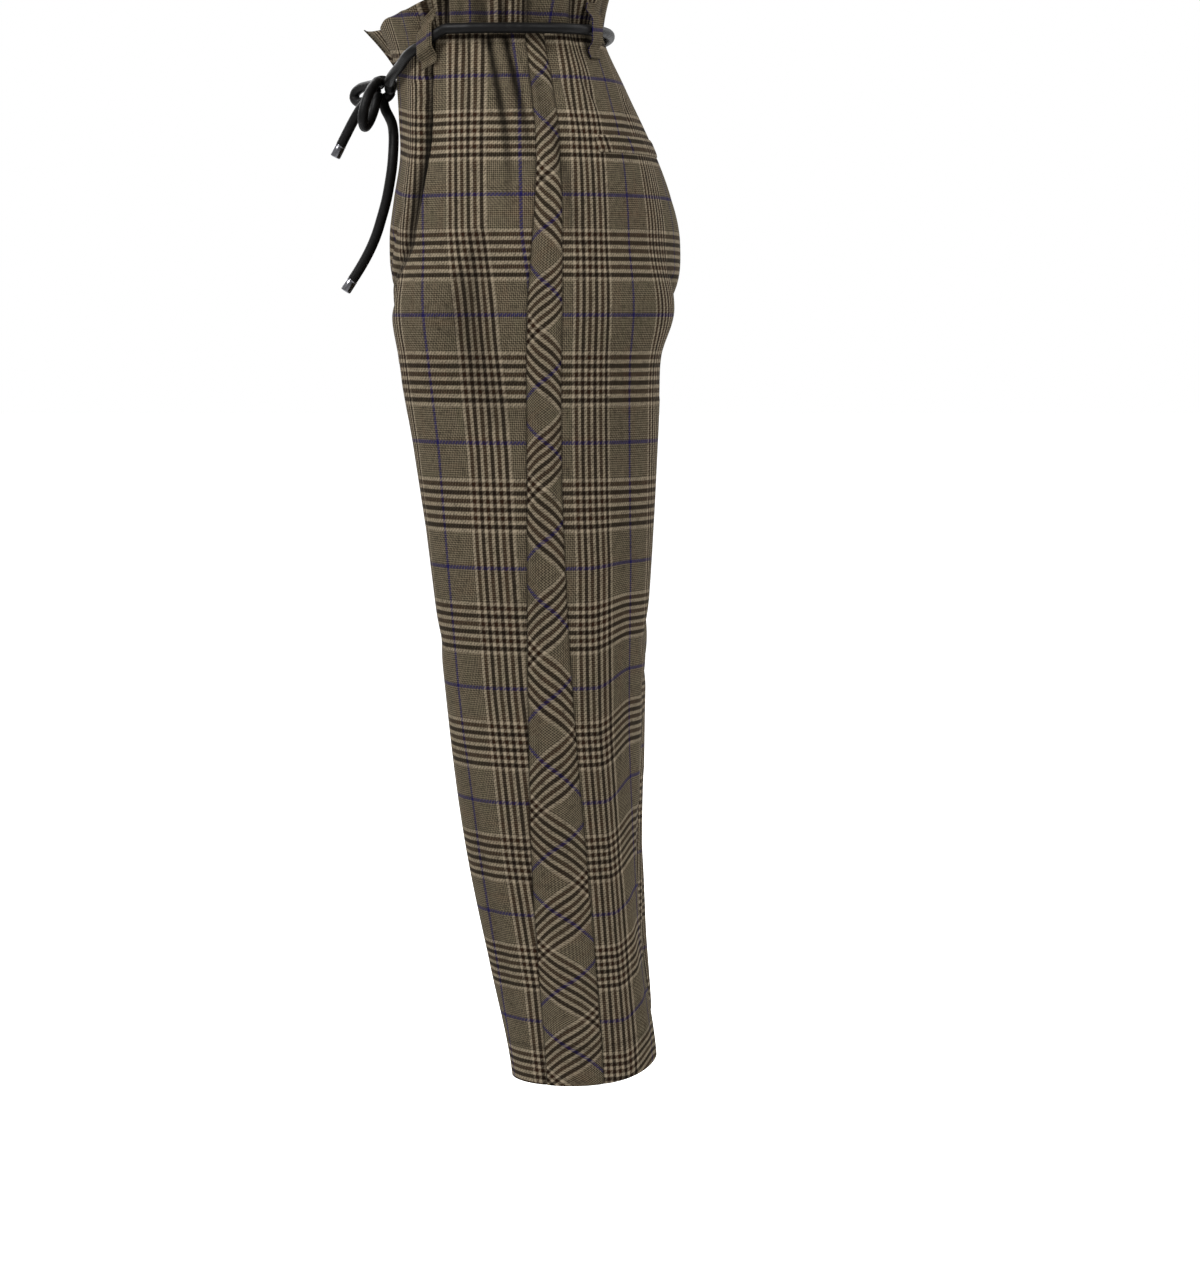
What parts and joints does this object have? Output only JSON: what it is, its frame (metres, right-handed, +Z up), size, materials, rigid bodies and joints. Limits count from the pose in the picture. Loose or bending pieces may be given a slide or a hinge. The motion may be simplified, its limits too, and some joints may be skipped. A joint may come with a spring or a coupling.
{
  "type": "paperbag waist trousers, worn shape",
  "caption": "Checked wool trousers with a paperbag frill over a cord belt tied in a bow, pleated front, bias side strips and tapered legs, open at waist and hems.",
  "frame": {"origin": "middle of the waist at the height of the cord belt, where the wearer's waist holds the garment up", "axes": "+Z up along the body, -Y the wearer's front, +X the wearer's left"},
  "size_m": [0.3682, 0.3273, 1.0013],
  "materials": {
    "check_cloth": "matte wool suiting in a brown and cream glen check with dark blue windowpane lines",
    "bias_cloth": "the same check cut on the bias, matte",
    "cord_leather": "round black leather cord, semi-gloss",
    "tip_metal": "polished dark metal cord tips"
  },
  "bodies": {
    "root": {"front_left": "check_cloth", "front_right": "check_cloth", "back_left": "check_cloth", "back_right": "check_cloth", "frill_left": "check_cloth", "frill_right": "check_cloth", "belt_loop_front_left": "check_cloth", "belt_loop_front_right": "check_cloth", "belt_loop_back_left": "check_cloth", "belt_loop_back_right": "check_cloth", "back_pocket_welt_left": "check_cloth", "back_pocket_welt_right": "check_cloth", "side_strip_left": "bias_cloth", "side_strip_right": "bias_cloth", "belt_cord": "cord_leather", "bow_knot": "cord_leather", "bow_loop_left": "cord_leather", "bow_loop_right": "cord_leather", "cord_end_long": "cord_leather", "cord_end_short": "cord_leather", "cord_tip_long": "tip_metal", "cord_tip_short": "tip_metal"}
  },
  "joints": []
}
